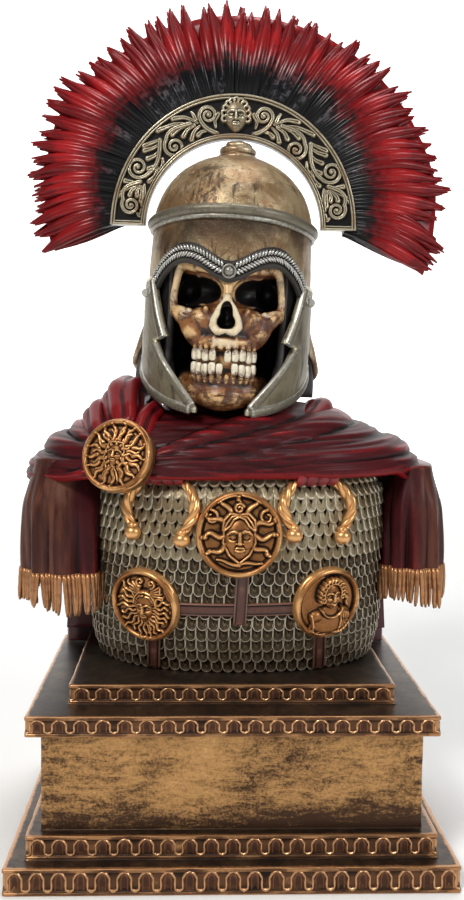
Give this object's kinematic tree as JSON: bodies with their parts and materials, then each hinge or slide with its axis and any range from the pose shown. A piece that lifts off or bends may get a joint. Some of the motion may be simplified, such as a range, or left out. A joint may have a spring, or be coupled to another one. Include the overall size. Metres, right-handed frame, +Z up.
{
  "type": "skull centurion bust on a plinth",
  "caption": "Display bust of a skull in a crested Roman centurion helmet, with scale shirt, fringed cloak and relief medallions, on a stepped plinth.",
  "frame": {"origin": "centre of the plinth's underside", "axes": "+Z up, -Y towards the front, where the face looks, +X to the viewer's right"},
  "size_m": [0.1763, 0.131, 0.3357],
  "materials": {
    "antique_bronze": "cast resin painted as dark antique bronze with rubbed copper edges",
    "painted_cloth": "cast resin painted as a dark wine cloak, darker in the folds, half gloss",
    "antique_silver_gold": "cast resin painted as worn pale gold with brown stains",
    "red_hair": "cast resin painted deep red at the tips and black at the roots",
    "bone": "cast resin painted as stained bone with pale rubbed edges",
    "silver_trim": "cast resin painted as rubbed antique silver",
    "silver_scales": "cast resin painted as pale khaki silver scales over a dark wash",
    "copper_gold": "cast resin painted as copper gold with a dark wash in the relief",
    "brown_strap": "cast resin painted as brown leather"
  },
  "bodies": {
    "root": {"plinth": "antique_bronze", "bust": "painted_cloth", "helmet": "antique_silver_gold", "crest": "red_hair"}
  },
  "joints": []
}
